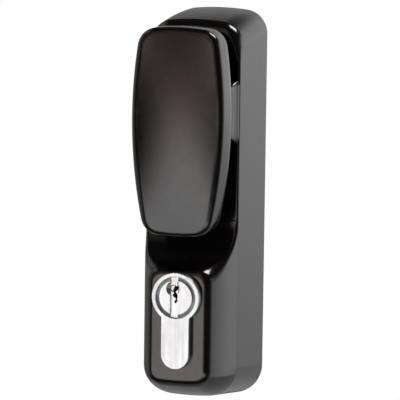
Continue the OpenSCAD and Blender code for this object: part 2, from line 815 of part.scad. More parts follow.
module cylinder_plug() {
    face_out = cylinder_front - plug_sunk;
    keyway_back = first_pin_out - (pin_count - 1) * pin_pitch - chamber_d;
    color("whitesmoke") on_cylinder_axis() difference() {
        union() {
            translate([0, 0, cylinder_back])
                cylinder(r = plug_r, h = face_out - plug_bevel_h - cylinder_back);
            translate([0, 0, face_out - plug_bevel_h - thin])
                cylinder(r1 = plug_r, r2 = plug_r - plug_bevel, h = plug_bevel_h + thin);
            intersection() {
                translate([0, 0, tail_end]) cylinder(r = tail_r, h = cylinder_back - tail_end + thin);
                translate([-tail_flat, -tail_r, 0]) cube([2 * tail_flat, 2 * tail_r, cylinder_front]);
            }
        }
        translate([0, 0, keyway_back]) linear_extrude(cylinder_front) keyway();
        translate([dimple_x, dimple_y, face_out - dimple_depth])
            cylinder(r = dimple_r, h = dimple_depth + through);
        translate([groove_left, -plug_d, face_out - groove_depth])
            cube([groove_right - groove_left, 2 * plug_d, groove_depth + through]);
        at_pins() rotate([90, 0, 0]) cylinder(r = chamber_r, h = profile_h);
        translate([0, 0, cam_out - fit - clip_t - fit / 2]) rotate_extrude()
            translate([tail_r - tail_groove, 0]) square([tail_groove + through, clip_t + fit]);
    }
}

module key_pins() {
    length = plug_r - shear_gap - key_pin_top;
    color("goldenrod") on_cylinder_axis() at_pins() rotate([90, 0, 0]) {
        translate([0, 0, key_pin_top + pin_body_r]) cylinder(r = pin_body_r, h = length - pin_body_r);
        translate([0, 0, key_pin_top]) cylinder(r1 = pin_body_r / 2, r2 = pin_body_r, h = pin_body_r + thin);
    }
}

module driver_pins() {
    color("silver") on_cylinder_axis() at_pins() rotate([90, 0, 0]) translate([0, 0, plug_r + shear_gap])
        cylinder(r = pin_body_r, h = driver_length);
}

module pin_springs() {
    low = cylinder_y - lobe_low - chamber_plug_t - chamber_plug_sunk;
    high = plug_r + shear_gap + driver_length;
    climb = low - high - pin_spring_wire - 2 * fit;
    line_r = pin_body_r - pin_spring_wire / 2 - fit;
    color("slategray") on_cylinder_axis() at_pins() rotate([90, 0, 0])
        translate([0, 0, high + fit + pin_spring_wire / 2])
            wire(coil_line(line_r, 0, pin_spring_turns * 360, climb, pin_spring_sides),
                pin_spring_wire / 2, 5);
}

module chamber_plugs() {
    low = cylinder_y - lobe_low - chamber_plug_sunk;
    color("goldenrod") on_cylinder_axis() at_pins() rotate([90, 0, 0])
        translate([0, 0, low - chamber_plug_t]) cylinder(r = chamber_r - run_fit, h = chamber_plug_t);
}

// Cam on the plug's tail; its nose starts above the middle and swings down as the key turns
module cam_outline() {
    difference() {
        union() {
            circle(r = cam_hub_r);
            rotate([0, 0, key_turn / 2]) {
                translate([0, -neck_half]) square([cam_throw, 2 * neck_half]);
                translate([cam_throw, 0]) circle(r = nose_r);
            }
        }
        intersection() {
            circle(r = tail_r + run_fit);
            translate([-tail_flat - run_fit, -profile_d]) square([2 * (tail_flat + run_fit), 2 * profile_d]);
        }
    }
}

module cylinder_cam() {
    color("slategray") on_cylinder_axis(cam_out) linear_extrude(cam_t) cam_outline();
}

module cam_circlip() {
    color("dimgray") on_cylinder_axis(cam_out - fit - clip_t)
        snap_ring(tail_r - tail_groove + run_fit, tail_r + tail_clip_w, clip_t, clip_gap_angle);
}

module cylinder_screw() {
    reach = lug_in_x + lug_t + profile_w / 2 - 1;
    color("dimgray") upright() translate([lug_in_x + lug_t + fit / 2, cross_y, cross_out])
        rotate([0, -90, 0]) cheese_head_screw(cross_screw_d / 2 - run_fit, cross_head_r, cross_head_t, reach);
}

housing();
back_plate();
back_plate_screws();
knob();
knob_bush();
thrust_washer();
knob_circlip();
driver_disc();
driver_screw();
follower();
spring_pegs();
spring_anchors();
return_spring();
clutch_pin();
clutch_pin_spring();
clutch_slide();
slide_guide();
guide_screws();
cylinder_body();
cylinder_plug();
key_pins();
driver_pins();
pin_springs();
chamber_plugs();
cylinder_cam();
cam_circlip();
cylinder_screw();
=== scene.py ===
import json
import math

import bpy
import numpy as np
from mathutils import Matrix, Vector

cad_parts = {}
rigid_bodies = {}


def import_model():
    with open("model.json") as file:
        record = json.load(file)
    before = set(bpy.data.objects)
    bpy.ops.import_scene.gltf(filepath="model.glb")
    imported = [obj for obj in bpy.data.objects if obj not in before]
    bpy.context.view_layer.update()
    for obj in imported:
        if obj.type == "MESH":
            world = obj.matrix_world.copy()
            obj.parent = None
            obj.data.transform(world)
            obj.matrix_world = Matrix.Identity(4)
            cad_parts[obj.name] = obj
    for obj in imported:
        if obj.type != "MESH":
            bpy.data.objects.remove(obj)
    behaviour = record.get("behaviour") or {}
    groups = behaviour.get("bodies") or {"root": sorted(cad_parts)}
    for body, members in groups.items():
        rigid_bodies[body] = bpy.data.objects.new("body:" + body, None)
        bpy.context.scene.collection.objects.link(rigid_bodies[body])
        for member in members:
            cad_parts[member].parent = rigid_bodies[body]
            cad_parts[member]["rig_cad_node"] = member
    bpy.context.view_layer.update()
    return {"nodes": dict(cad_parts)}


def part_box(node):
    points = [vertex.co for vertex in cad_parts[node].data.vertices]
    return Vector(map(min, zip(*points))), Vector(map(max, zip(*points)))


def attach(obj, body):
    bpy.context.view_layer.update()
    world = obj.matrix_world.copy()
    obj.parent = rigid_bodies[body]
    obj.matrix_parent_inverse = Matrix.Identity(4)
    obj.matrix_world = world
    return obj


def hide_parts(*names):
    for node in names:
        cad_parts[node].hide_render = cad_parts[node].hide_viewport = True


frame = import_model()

bl_info = {
    "name": "Knob lock",
    "version": (1, 0, 0),
    "blender": (4, 5, 0),
    "location": "3D View > Sidebar > Knob lock",
    "description": "Cast door lock with a paddle knob and a Euro-profile key cylinder",
    "category": "Object",
}

# Lengths in metres: a millimetre, and how near to each other doubles lie
MM = 0.001
MERGE = 1e-6
# Material of each finish; the materials are made in the first step
FINISH = {}


def length(name, description, default, low, high):
    """Size in millimetres, with its default and the limits it may be changed within."""
    return bpy.props.FloatProperty(name=name, description=description, default=default, min=low, max=high)


def tone(name, description, default):
    """Colour of a finish."""
    return bpy.props.FloatVectorProperty(
        name=name, description=description, subtype="COLOR", size=3, default=default
    )


class HousingSizes(bpy.types.PropertyGroup):
    """Sizes of the cast housing, in millimetres."""

    base_out: length("Base depth", "Depth of the base from the door", 29.0, 20.0, 34.0)
    rim_r: length("Rim radius", "Radius of the rounded front rim", 0.8, 0.2, 4.0)
    top_rim_r: length("Top rim radius", "Radius of the front rim round the top", 4.0, 0.2, 6.0)
    top_rim_y: length("Top rim start", "Height at which the rim begins to widen", 50.0, 30.0, 60.0)
    top_draft: length("Top draft", "Lean of the top end, from the door to the front", 2.0, 0.0, 4.0)
    foot_draft: length("Foot draft", "Lean of the foot, from the door to the front", 3.1, 0.0, 4.0)
    corner_r: length("Corner radius", "Radius of the corners from the front", 10.6, 6.0, 14.0)
    top_corner_r: length("Top corners", "Radius of the top corners from the front", 8.2, 6.0, 14.0)
    arch_r: length("Arch radius", "Radius of the arched ends", 90.0, 50.0, 200.0)
    wall: length("Wall", "Thickness of the cast wall", 2.5, 1.5, 4.0)
    cavity_out: length("Hollow depth", "Depth of the hollow behind the front wall", 26.0, 18.0, 30.0)
    panel_out: length("Panel depth", "Depth of the cylinder panel from the door", 42.7, 38.0, 46.0)
    panel_edge: length("Panel edge", "Radius of the panel's rounded edge", 1.7, 0.2, 4.0)
    ridge_r: length("Ridge radius", "Radius of the ridge between block and sweep", 1.0, 0.2, 4.0)
    panel_corner_r: length("Panel corners", "Radius of the ridge at the panel's corners", 4.6, 0.2, 6.0)
    panel_inset: length("Panel inset", "Distance of the panel's edge inside the base", 5.9, 3.0, 8.0)
    block_swell: length("Block swell", "Swell of the block's slanted sides", 0.75, 0.1, 1.3)
    draft_reach: length("Draft reach", "Height from the middle at which the ends begin", 50.0, 30.0, 60.0)
    sweep_r: length("Sweep radius", "Radius of the concave sweep up to the panel", 16.0, 14.0, 28.0)
    sweep_top: length("Sweep start", "Height at which the sweep leaves the base", -3.0, -8.0, 8.0)
    neck_half_w: length("Neck width", "Half of the neck's width at its waist", 14.9, 11.0, 16.0)
    neck_half_h: length("Neck rise", "Half of the neck's height at its waist", 9.4, 8.0, 14.0)
    neck_flare: length("Neck flare", "Flare of the neck down to the base", 1.4, 0.0, 3.0)
    neck_h: length("Neck height", "Height of the neck above the base", 6.9, 4.0, 10.0)


class KnobSizes(bpy.types.PropertyGroup):
    """Sizes of the paddle knob, in millimetres."""

    axis_y: length("Knob axis", "Height of the knob axis", 34.2, 28.0, 38.0)
    half_w: length("Half width", "Half of the paddle's greatest width", 16.58, 14.0, 19.0)
    above: length("Above axis", "Height of the paddle above its axis", 29.4, 26.0, 32.0)
    below: length("Below axis", "Height of the paddle below its axis", 41.8, 36.0, 44.0)
    wide_y: length("Widest place", "Height of the widest place above the axis", -1.2, -4.0, 4.0)
    side_r: length("Side radius", "Radius of the bowed sides", 165.0, 150.0, 260.0)
    end_r: length("End radius", "Radius of the arched ends", 75.0, 50.0, 120.0)
    corner_r: length("Corner radius", "Radius of the paddle's corners", 7.0, 5.0, 9.0)
    back_out: length("Back depth", "Depth of the paddle's back from the door", 36.8, 34.0, 40.0)
    rim_out: length("Rim depth", "Depth of the paddle's front rim from the door", 46.1, 42.0, 48.0)
    edge_r: length("Front edge", "Radius of the rounded front edge", 2.1, 1.0, 4.0)
    dome: length("Dome", "Rise of the domed face above the rim", 1.37, 0.0, 3.0)
    shank_r: length("Shank radius", "Radius of the shank", 8.5, 7.0, 10.0)
    shank_end: length("Shank end", "Depth of the shank's inner end", 17.4, 12.0, 20.0)


class CylinderSizes(bpy.types.PropertyGroup):
    """Sizes of the Euro-profile key cylinder, in millimetres."""

    axis_y: length("Cylinder axis", "Height of the cylinder axis", -28.0, -34.0, -24.0)
    profile_r: length("Round part", "Radius of the round part", 8.5, 8.0, 9.0)
    lobe_half: length("Lobe", "Half of the width of the lobe", 5.0, 4.5, 5.5)
    height: length("Profile height", "Height of the whole profile", 33.0, 31.0, 35.0)
    front_out: length("Face depth", "Depth of the cylinder's face from the door", 45.2, 42.0, 47.0)
    back_out: length("Back depth", "Depth of the cylinder's inner end", 16.65, 10.0, 20.0)
    plug_r: length("Plug radius", "Radius of the plug", 7.0, 6.0, 7.4)
    plug_chamfer: length("Plug chamfer", "Width of the chamfer round the plug's face", 1.2, 0.2, 2.0)


class Finishes(bpy.types.PropertyGroup):
    """Colours of the finishes."""

    paint: tone("Paint", "Colour of the bronze paint", (0.004, 0.0033, 0.003))
    nickel: tone("Nickel", "Colour of the nickel plate", (0.745, 0.785, 0.80))
    zinc: tone("Zinc", "Colour of the zinc-plated steel", (0.56, 0.57, 0.58))
    steel: tone("Dark steel", "Colour of the blacked steel", (0.10, 0.10, 0.11))
    wire: tone("Spring wire", "Colour of the spring wire", (0.40, 0.40, 0.41))
    brass: tone("Brass", "Colour of the brass pieces", (0.72, 0.52, 0.22))
    bronze: tone("Bearing bronze", "Colour of the bearing", (0.55, 0.36, 0.20))


def settings():
    """Sizes and colours that the panel shows."""
    return bpy.context.scene


def clear_selection():
    """Leaves edit mode and deselects everything, the frame's own nodes too."""
    if bpy.context.object and bpy.context.object.mode != "OBJECT":
        bpy.ops.object.mode_set(mode="OBJECT")
    bpy.ops.object.select_all(action="DESELECT")


def take(obj):
    """Makes obj the only selected object."""
    clear_selection()
    obj.select_set(True)
    bpy.context.view_layer.objects.active = obj


def edit(obj):
    """Opens obj in edit mode with all of it selected."""
    take(obj)
    bpy.ops.object.mode_set(mode="EDIT")
    bpy.ops.mesh.select_mode(type="VERT")
    bpy.ops.mesh.select_all(action="SELECT")


def close(obj):
    """Merges doubles, turns the faces outwards and leaves edit mode."""
    edit(obj)
    bpy.ops.mesh.remove_doubles(threshold=MERGE)
    bpy.ops.mesh.normals_make_consistent(inside=False)
    bpy.ops.object.mode_set(mode="OBJECT")


def place(x, y, out):
    """Place of a point given across, up and out from the door, in millimetres."""
    return Vector((x * MM, -out * MM, y * MM))


def sheet(name, places):
    """Grid through places, an array of rows, columns and millimetres across, up and out."""
    rows, columns = places.shape[:2]
    clear_selection()
    bpy.ops.mesh.primitive_grid_add(x_subdivisions=columns - 1, y_subdivisions=rows - 1, size=MM)
    obj = bpy.context.object
    obj.name = name
    if len(obj.data.vertices) != rows * columns:
        raise RuntimeError(f"{name}: {len(obj.data.vertices)} vertices, not {rows * columns}")
    turned = np.stack([places[..., 0], -places[..., 2], places[..., 1]], axis=-1) * MM
    obj.data.vertices.foreach_set("co", turned.reshape(-1))
    obj.data.update()
    return obj


def pick_open_edge(obj):
    """Opens obj in edit mode with only its open edge selected."""
    take(obj)
    bpy.ops.object.mode_set(mode="EDIT")
    bpy.ops.mesh.select_mode(type="EDGE")
    bpy.ops.mesh.select_all(action="DESELECT")
    bpy.ops.mesh.select_non_manifold(
        extend=False, use_wire=False, use_multi_face=False, use_non_contiguous=False, use_verts=False
    )


def carry_edge(obj, moves):
    """Extrudes the open edge once for each move; a move takes arrays across, up and out to new ones."""
    for move in moves:
        pick_open_edge(obj)
        bpy.ops.mesh.extrude_edges_indiv()
        bpy.ops.object.mode_set(mode="OBJECT")
        new = [v for v in obj.data.vertices if v.select]
        at = np.array([v.co for v in new]) / MM
        across, up, out = move(at[:, 0], at[:, 2], -at[:, 1])
        for v, x, y, o in zip(new, across, up, out):
            v.co = place(x, y, o)
    obj.data.update()


def fill_edge(obj):
    """Closes the open edge with one face."""
    pick_open_edge(obj)
    bpy.ops.mesh.edge_face_add()
    bpy.ops.object.mode_set(mode="OBJECT")


def ring_of_points(name, points):
    """Closed loop of edges through points, each given across, up and out."""
    clear_selection()
    bpy.ops.mesh.primitive_circle_add(vertices=len(points), radius=MM, fill_type="NOTHING")
    obj = bpy.context.object
    obj.name = name
    for v, point in zip(obj.data.vertices, points):
        v.co = place(*point)
    return obj


def prism(name, points, low, high):
    """Straight solid with the outline points, between two depths."""
    obj = ring_of_points(name, [(x, y, low) for x, y in points])
    edit(obj)
    bpy.ops.mesh.edge_face_add()
    bpy.ops.mesh.extrude_region_move(TRANSFORM_OT_translate={"value": (0, (low - high) * MM, 0)})
    close(obj)
    return obj


def spun(name, profile, y, steps=72, x=0.0):
    """Solid turned about an axis on the door: profile is a closed loop of radius and depth."""
    obj = ring_of_points(name, [(x + r, y, out) for r, out in profile])
    edit(obj)
    bpy.ops.mesh.spin(steps=steps, angle=math.tau, center=place(x, y, 0), axis=(0, 1, 0))
    close(obj)
    return obj


def block(name, low, high):
    """Box between two corners given across, up and out."""
    clear_selection()
    bpy.ops.mesh.primitive_cube_add(size=1)
    obj = bpy.context.object
    obj.name = name
    for v in obj.data.vertices:
        corner = [high[i] if v.co[i] > 0 else low[i] for i in range(3)]
        v.co = place(*corner)
    close(obj)
    return obj


def apply(obj, kind, **values):
    """Adds a modifier and applies it."""
    take(obj)
    modifier = obj.modifiers.new(kind.title(), kind)
    for key, value in values.items():
        setattr(modifier, key, value)
    bpy.ops.object.modifier_apply(modifier=modifier.name)


def cut(obj, *cutters):
    """Takes the cutters out of obj and deletes them."""
    for cutter in cutters:
        apply(obj, "BOOLEAN", operation="DIFFERENCE", solver="EXACT", object=cutter)
        bpy.data.objects.remove(cutter)


def join(obj, *others):
    """Joins others into obj."""
    take(obj)
    for other in others:
        other.select_set(True)
    bpy.ops.object.join()


def soften(obj, width, segments=2):
    """Rounds the sharp edges, with the width in millimetres."""
    sharp = math.radians(40.0)
    apply(
        obj, "BEVEL", width=width * MM, segments=segments, limit_method="ANGLE", angle_limit=sharp,
        use_clamp_overlap=True, miter_outer="MITER_ARC",
    )


def finish(obj, body, metal, nodes):
    """Shades a piece, gives it its finish and lets it ride on its body in place of its CAD nodes."""
    sharp = math.radians(32.0)
    take(obj)
    bpy.ops.object.shade_smooth_by_angle(angle=sharp)
    apply(obj, "WEIGHTED_NORMAL", keep_sharp=True)
    obj.data.materials.clear()
    obj.data.materials.append(FINISH[metal])
    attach(obj, body)
    if nodes:
        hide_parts(*nodes)


def turn_points(cx, cy, r, first, last, steps):
    """Places along an arc, with its angles in degrees."""
    turns = np.radians(np.linspace(first, last, steps + 1))
    return [(cx + r * math.cos(turn), cy + r * math.sin(turn)) for turn in turns]


class Outline:
    """Outline about x = 0 with bowed sides, arched ends and rounded corners, in millimetres."""

    def __init__(self, half_w, wide_y, side_r, low, high, end_r, foot_r, top_r):
        self.foot_r = foot_r
        self.top_r = top_r
        self.side = (half_w - side_r, wide_y, side_r)
        self.top = (0.0, high - end_r, end_r)
        self.foot = (0.0, low + end_r, end_r)
        self.high = self.meeting(self.top, top_r, 1)
        self.low = self.meeting(self.foot, foot_r, -1)
        self.high_turn = (self.bearing(self.side, self.high), self.bearing(self.top, self.high))
        self.low_turn = (self.bearing(self.foot, self.low), self.bearing(self.side, self.low))

    def meeting(self, end, corner_r, way):
        """Centre of the corner between the side and an end, which lies upwards (1) or downwards (-1)."""
        ax, ay, ar = self.side
        bx, by, br = end
        ra, rb = ar - corner_r, br - corner_r
        d = math.hypot(bx - ax, by - ay)
        along = (d * d + ra * ra - rb * rb) / (2 * d)
        off = math.sqrt(ra * ra - along * along)
        ux, uy = (bx - ax) / d, (by - ay) / d
        found = [(ax + along * ux - s * off * uy, ay + along * uy + s * off * ux) for s in (1, -1)]
        slightly = 0.001
        return max(found, key=lambda p: p[0] + slightly * way * p[1])

    @staticmethod
    def bearing(start, end):
        """Direction from one place to another."""
        return math.atan2(end[1] - start[1], end[0] - start[0])

    def nearest(self, x, y):
        """Distance inside the outline, and the direction straight out of it, for places near it."""
        across = np.abs(x)
        depth = np.full(np.shape(x), np.inf)
        to_x, to_y = np.zeros(np.shape(x)), np.zeros(np.shape(x))
        slack = 1e-9
        corners = ((*self.high, self.top_r, self.high_turn), (*self.low, self.foot_r, self.low_turn))
        for cx, cy, r, *turns in (self.side, self.top, self.foot, *corners):
            off_x, off_y = across - cx, y - cy
            here = r - np.hypot(off_x, off_y)
            rules = here < depth
            for first, last in turns:
                turn = np.arctan2(off_y, off_x)
                rules = (turn >= first - slack) & (turn <= last + slack)
            depth = np.where(rules, here, depth)
            to_x, to_y = np.where(rules, off_x, to_x), np.where(rules, off_y, to_y)
        far = np.hypot(to_x, to_y)
        return depth, np.sign(x) * to_x / far, to_y / far

    def carried_out(self, x, y, by):
        """Places carried straight out of the outline by a distance."""
        _, to_x, to_y = self.nearest(x, y)
        return x + by * to_x, y + by * to_y

    def right_edge(self, inset, low_steps, heights, high_steps):
        """Places up the right-hand edge, from the foot's corner to the top's corner."""
        cx, cy, side_r = self.side
        ends = turn_points(*self.low, self.foot_r - inset, *np.degrees(self.low_turn), low_steps)
        top = turn_points(*self.high, self.top_r - inset, *np.degrees(self.high_turn), high_steps)
        start, stop, apart = ends[-1][1], top[0][1], 0.2
        for y in heights:
            if start + apart < y < stop - apart:
                ends.append((cx + math.sqrt((side_r - inset) ** 2 - (y - cy) ** 2), y))
        return ends + top

    def rows(self, inset, columns, low_steps, heights, high_steps, reach):
        """Rows across the outline drawn in by inset; near the ends they follow the arches."""
        ends = self.right_edge(inset, low_steps, heights, high_steps)
        first, last = ends[0][1], ends[-1][1]
        found = []
        for x_end, y_end in ends:
            x = columns * x_end
            y = np.full(len(columns), y_end)
            for (_, _, r), start, way in ((self.foot, first, -1), (self.top, last, 1)):
                weight = max(0.0, 1.0 - abs(y_end - start) / reach) ** 2
                bow = np.sqrt((r - inset) ** 2 - x**2) - math.sqrt((r - inset) ** 2 - x_end**2)
                y = y + way * weight * bow
            found.append(np.stack([x, y], axis=-1))
        return np.array(found)


def stepped(*parts):
    """Numbers from parts, each a start, a stop and a step."""
    return np.concatenate([np.arange(*part) for part in parts])


def rising(value, low, high):
    """0 below low, 1 above high, and a smooth rise between them."""
    s = np.clip((value - low) / (high - low), 0.0, 1.0)
    return s * s * (3.0 - 2.0 * s)


def soft_max(a, b, width):
    """Larger of a and b, rounded where they are within width of each other."""
    near = np.maximum(width - np.abs(a - b), 0.0) / width
    return np.maximum(a, b) + near * near * width / 4.0


def rounded(a, b, r):
    """Depth inside two faces at once, given the depth inside each, with a rounded edge between them."""
    edge = r - np.hypot(np.maximum(r - a, 0.0), np.maximum(r - b, 0.0))
    return np.where((a > r) & (b > r), np.minimum(a, b), edge)


def housing_outline(lean):
    """Outline of the housing from the front, from the door at lean 0 to the front at lean 1."""
    sizes = settings().lock_housing
    low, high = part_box("housing")
    foot, top = low.z / MM + lean * sizes.foot_draft, high.z / MM - lean * sizes.top_draft
    straight = 1e5
    corners = (sizes.corner_r, sizes.top_corner_r)
    return Outline(high.x / MM, 0.0, straight, foot, top, sizes.arch_r, *corners)


def rim_radius(y):
    """Radius of the front rim at a height: it widens round the top."""
    sizes = settings().lock_housing
    widening = 10.0
    full = sizes.top_rim_y + widening
    return sizes.rim_r + (sizes.top_rim_r - sizes.rim_r) * rising(y, sizes.top_rim_y, full)


def block_depth(y, out, inset):
    """Depth inside the raised block: its slanted sides, the sweep and the panel, with rounded edges."""
    sizes = settings().lock_housing
    foot = sizes.base_out - sizes.rim_r
    share = (out - foot) / (sizes.panel_out - foot)
    bend = 4.0 * sizes.block_swell
    straight = sizes.panel_inset - bend
    slope = math.hypot(1.0, sizes.panel_inset / (sizes.panel_out - foot))
    side = (inset - straight * share - bend * share**2) / slope
    sweep = np.hypot(y - sizes.sweep_top, out - sizes.base_out - sizes.sweep_r) - sizes.sweep_r
    sweep = np.where(y > sizes.sweep_top, -1.0, sweep)
    sharp_up_to, full_from = 0.3, 0.9
    ridge = sizes.ridge_r + (sizes.panel_corner_r - sizes.ridge_r) * rising(share, sharp_up_to, full_from)
    return rounded(rounded(side, sweep, ridge), sizes.panel_out - out, sizes.panel_edge)


def housing_front(x, y):
    """Depth of the front of the housing: base with a rounded rim, block, and the sweep between them."""
    sizes = settings().lock_housing
    rim = rim_radius(y)
    inset, _, _ = housing_outline(1.0).nearest(x, y)
    inside = np.clip(inset, 0.0, rim)
    base = sizes.base_out - rim + np.sqrt(np.maximum(rim**2 - (rim - inside) ** 2, 0.0))
    low = np.full(np.shape(x), sizes.base_out - 2.0 * sizes.top_rim_r)
    high = np.full(np.shape(x), sizes.panel_out)
    halvings, blend = 40, 0.3
    for _ in range(halvings):
        middle = (low + high) / 2.0
        solid = block_depth(y, middle, inset) > 0.0
        low = np.where(solid, middle, low)
        high = np.where(solid, high, middle)
    return soft_max(base, low, blend)


def euro_points(grow):
    """Outline of the Euro profile, grown all round, from the front."""
    sizes = settings().lock_cylinder
    steps = 64
    r, half = sizes.profile_r + grow, sizes.lobe_half + grow
    lobe_y = sizes.axis_y + sizes.profile_r - sizes.height + sizes.lobe_half
    start = -math.degrees(math.acos(half / r))
    points = turn_points(0.0, sizes.axis_y, r, start, 180 - start, steps)
    return points + turn_points(0.0, lobe_y, half, 180, 360, steps // 2)


class LOCK_OT_housing(bpy.types.Operator):
    """Casts the housing: base, raised block, sweep, neck and the holes through the front."""

    bl_idname = "knob_lock.housing"
    bl_label = "Housing"

    def execute(self, context):
        sizes = context.scene.lock_housing
        knob = context.scene.lock_knob
        front, back = housing_outline(1.0), housing_outline(0.0)
        rim = sizes.top_rim_r
        flat_share, flat_columns, side_columns = 0.45, 13, 45
        outer = np.linspace(flat_share, 1.0, side_columns)
        inner = np.linspace(-flat_share, flat_share, flat_columns)[1:-1]
        columns = np.concatenate([-outer[::-1], inner, outer])
        low_rows, sweep_rows, high_rows = (-60.0, -24.0, 0.8), (-24.0, -1.0, 0.2), (-1.0, 60.0, 1.4)
        heights = stepped(low_rows, sweep_rows, high_rows)
        foot_steps, top_steps, arch_reach = 40, 24, 16.0
        flat = front.rows(rim, columns, foot_steps, heights, top_steps, arch_reach)
        depth = housing_front(flat[..., 0], flat[..., 1])
        shell = sheet("housing_shell", np.concatenate([flat, depth[..., None]], axis=-1))

        def leaned(y, lean):
            """Heights moved outwards by a share of the draft of the ends."""
            draft = np.where(y > 0.0, sizes.top_draft, sizes.foot_draft)
            return y + lean * draft * np.clip(y / sizes.draft_reach, -1.0, 1.0)

        def drawn_in(outline, start, stop, out=None, lean=0.0):
            """Move that takes the edge from one inset to another, at a depth or on the front surface."""

            def move(x, y, o):
                x, y = outline.carried_out(x, y, start - stop)
                return x, leaned(y, lean), housing_front(x, y) if out is None else np.full(len(x), out)

            return move

        def crowned(y, out):
            """Share of the draft at a depth: straight at the foot, bowed at the top."""
            share = np.clip(out / (sizes.base_out - rim_radius(y)), 0.0, 1.0)
            return 1.0 - np.where(y > 0.0, share**2, share)

        def pushed_back(out):
            """Move that takes the edge back to a depth that depends on the height, along the draft."""

            def move(x, y, o):
                to = out(y)
                return x, leaned(y, crowned(y, to) - crowned(y, o)), to

            return move

        rim_steps = 15
        insets = [rim * (1.0 - math.sin(turn)) for turn in np.linspace(0.0, math.pi / 2, rim_steps)]
        moves = [drawn_in(front, a, b) for a, b in zip(insets, insets[1:])]
        back_edge, back_turn, support = 0.5, 0.15, 0.3
        belts = (22.0, 16.0, 10.0, 5.0, back_edge + support, back_edge)
        moves += [pushed_back(lambda y: sizes.base_out - rim_radius(y) - support)]
        moves += [pushed_back(lambda y, out=out: np.full(len(y), out)) for out in belts]
        moves += [drawn_in(back, 0.0, back_turn, back_turn), drawn_in(back, back_turn, back_edge, 0.0)]
        moves += [drawn_in(back, back_edge, sizes.wall, 0.0, -1.0)]
        moves += [drawn_in(front, sizes.wall, sizes.wall, sizes.cavity_out)]
        carry_edge(shell, moves)
        fill_edge(shell)
        close(shell)
        shank_gap, cylinder_gap, past_inside, past_outside = 0.3, 0.1, 2.0, 3.0
        bore = knob.shank_r + shank_gap
        inner_out, outer_out = sizes.cavity_out - past_inside, sizes.panel_out + past_outside
        hole = [(0.0, inner_out), (bore, inner_out), (bore, outer_out), (0.0, outer_out)]
        cut(
            shell,
            prism("cylinder_hole", euro_points(cylinder_gap), inner_out, outer_out),
            spun("shank_hole", hole, knob.axis_y),
        )
        join(shell, self.neck(sizes, knob, bore))
        finish(shell, "housing_set", "paint", ["housing"])
        return {"FINISHED"}

    def neck(self, sizes, knob, bore):
        """Waisted neck behind the knob, nearly as wide as the base, with the shank's hole through it."""
        sunk, edge, seat_w, seat_deep = 1.0, 0.3, 2.5, 1.9
        top = sizes.base_out + sizes.neck_h
        buried = sizes.base_out - sunk
        round_steps, high_steps = 144, 15
        turns = np.linspace(0.0, math.tau, round_steps + 1)
        waist, foot_to_top_flare, boxy, circle = 0.65, 3.0, 18.0, 2.0

        def ring(half_w, half_h, out, power):
            """Places round the neck at a depth; the higher the power, the squarer the outline."""
            along, up = np.round(np.cos(turns), 9), np.round(np.sin(turns), 9)
            x = half_w * np.sign(along) * np.abs(along) ** (2.0 / power)
            y = half_h * np.sign(up) * np.abs(up) ** (2.0 / power)
            return np.stack([x, knob.axis_y + y, np.full(len(turns), out)], axis=-1)

        def outside(share, inset=0.0):
            """Ring on the outside at a share of the neck's height."""
            lower, upper = max(0.0, 1.0 - share / waist), max(0.0, (share - waist) / (1.0 - waist))
            spread = sizes.neck_flare * (lower**2 + upper**2 / foot_to_top_flare) - inset
            out = sizes.base_out + share * sizes.neck_h
            return ring(sizes.neck_half_w + spread, sizes.neck_half_h + spread, out, boxy)

        foot = outside(0.0)
        foot[:, 2] = buried
        shares = np.linspace(0.0, 1.0 - edge / sizes.neck_h, high_steps)
        rows = [foot] + [outside(share) for share in shares]
        rows += [outside(1.0, edge)]
        seat, seat_out = bore + seat_w, top - seat_deep
        inside = ((seat, top), (seat, seat_out), (bore, seat_out), (bore, buried))
        rows += [ring(r, r, out, circle) for r, out in inside]
        neck = sheet("neck", np.array(rows + [foot]))
        close(neck)
        return neck


class LOCK_OT_casting(bpy.types.Operator):
    """Bosses, posts, collar and rib cast on the inside of the housing."""

    bl_idname = "knob_lock.casting"
    bl_label = "Inner casting"

    def execute(self, context):
        knob = context.scene.lock_knob
        sunk, broken_edge = 0.5, 0.2
        deep = context.scene.lock_housing.cavity_out + sunk
        r, tap_r, tap_end, edge, steps = 4.3, 2.5, 18.0, 0.4, 32
        boss = [(tap_r, edge), (tap_r + edge, 0.0), (r - edge, 0.0), (r, edge)]
        boss += [(r, deep), (0.0, deep), (0.0, tap_end), (tap_r, tap_end)]
        casting, *pieces = [spun("fixing_boss", boss, y, steps) for y in (-58.7, 56.3)]
        for x in (-9.7, 9.7):
            for y in (-55.5, 57.5):
                pieces.append(self.post("plate_post", x, y, end=1.7, tap_end=10.6, deep=deep))
        for x in (-11.1, 11.1):
            pieces.append(self.post("guide_post", x, y=4.61, end=12.8, tap_end=21.0, deep=deep))
        bore, r, end, chamfer_w, chamfer_h = 10.1, 13.05, 22.0, 0.35, 0.4
        collar = [(bore, end), (r - chamfer_w, end), (r, end + chamfer_h), (r, deep), (bore, deep)]
        rib_low, rib_high = (5.1, -62.5, 3.7), (8.5, -43.5, deep)
        pieces += [spun("collar", collar, knob.axis_y, steps=64), block("rib", rib_low, rib_high)]
        casting.name = "inner_casting"
        join(casting, *pieces)
        soften(casting, broken_edge)
        finish(casting, "housing_set", "paint", [])
        return {"FINISHED"}

    def post(self, name, x, y, end, tap_end, deep):
        """Round post with a chamfered end and a hole for a screw."""
        hole_r, post_r, edge = 1.53, 3.0, 0.3
        profile = [(hole_r, end), (post_r - edge, end), (post_r, end + edge), (post_r, deep)]
        profile += [(0.0, deep), (0.0, tap_end), (hole_r, tap_end)]
        return spun(name, profile, y, steps=32, x=x)


